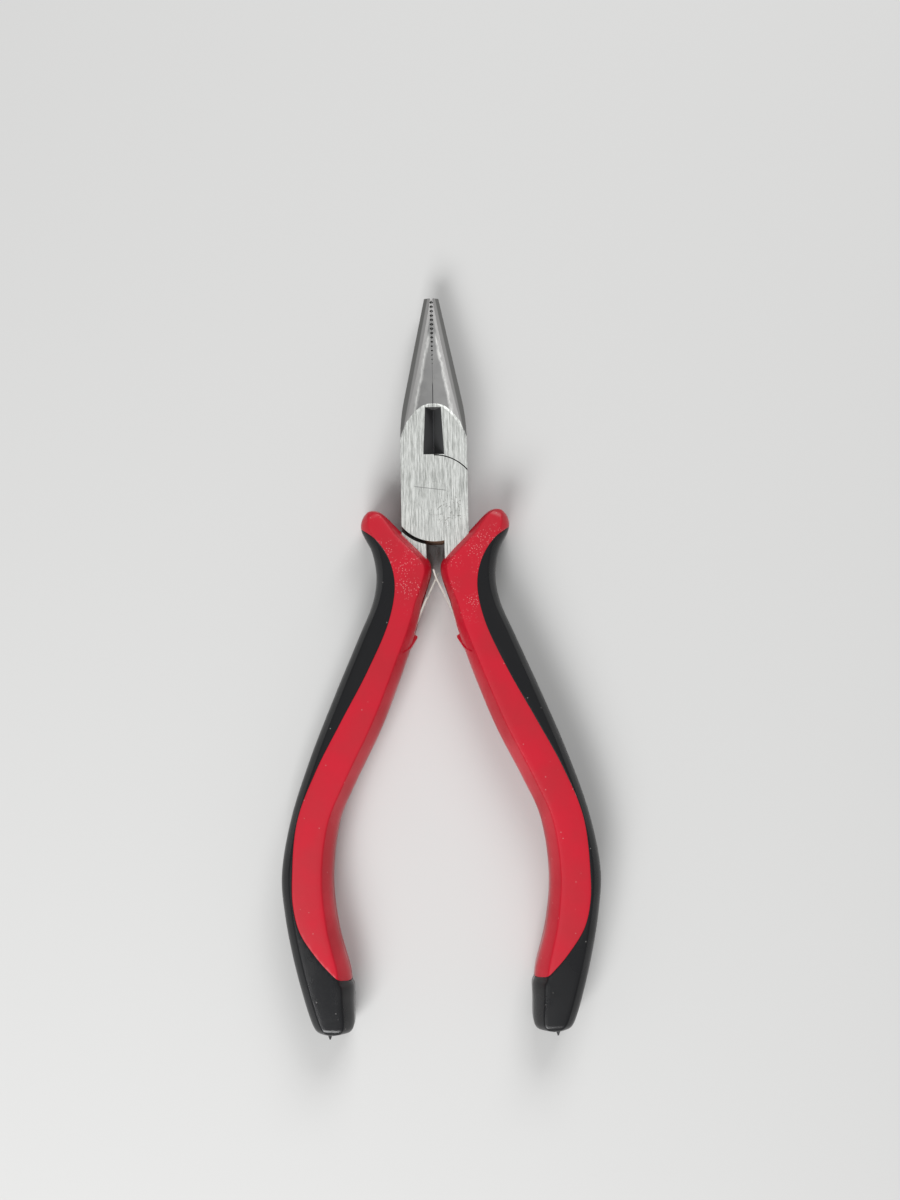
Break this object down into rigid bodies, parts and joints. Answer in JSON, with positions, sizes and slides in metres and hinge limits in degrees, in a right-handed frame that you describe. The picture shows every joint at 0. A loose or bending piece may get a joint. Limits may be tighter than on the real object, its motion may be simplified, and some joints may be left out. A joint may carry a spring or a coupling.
{
  "type": "long-nose pliers",
  "caption": "Small long-nose pliers with toothed jaws, a side cutter, crossed leaf springs and two-colour bowed grips.",
  "frame": {"origin": "on the pivot axis, at the joint's back ground flat", "axes": "+Y to the jaw tips, +Z out of the front of the tool along the pivot axis, +X to the right-hand grip"},
  "size_m": [0.0562, 0.1317, 0.0112],
  "materials": {
    "ground_steel": "ground flats, satin jaws",
    "rivet_steel": "ground flush",
    "spring_steel": "rolled strip",
    "red_plastic": "fine satin texture",
    "black_plastic": "soft satin skin"
  },
  "bodies": {
    "front_lever": {"front_half": "ground_steel", "pivot_rivet": "rivet_steel", "right_leaf_spring": "spring_steel", "right_spring_rivet": "rivet_steel", "right_grip_core": "red_plastic", "right_grip_cover": "black_plastic"},
    "back_lever": {"back_half": "ground_steel", "left_leaf_spring": "spring_steel", "left_spring_rivet": "rivet_steel", "left_grip_core": "red_plastic", "left_grip_cover": "black_plastic"}
  },
  "joints": [
    {"name": "jaw_pivot", "type": "hinge", "parent": "front_lever", "child": "back_lever", "pos_m": [0, 0, 0.0038], "axis": [0, 0, -1], "range_deg": [0, 25], "stiffness_Nm_per_rad": 0.8, "springref_deg": 22.92, "deforming": ["right_leaf_spring", "left_leaf_spring"]}
  ]
}
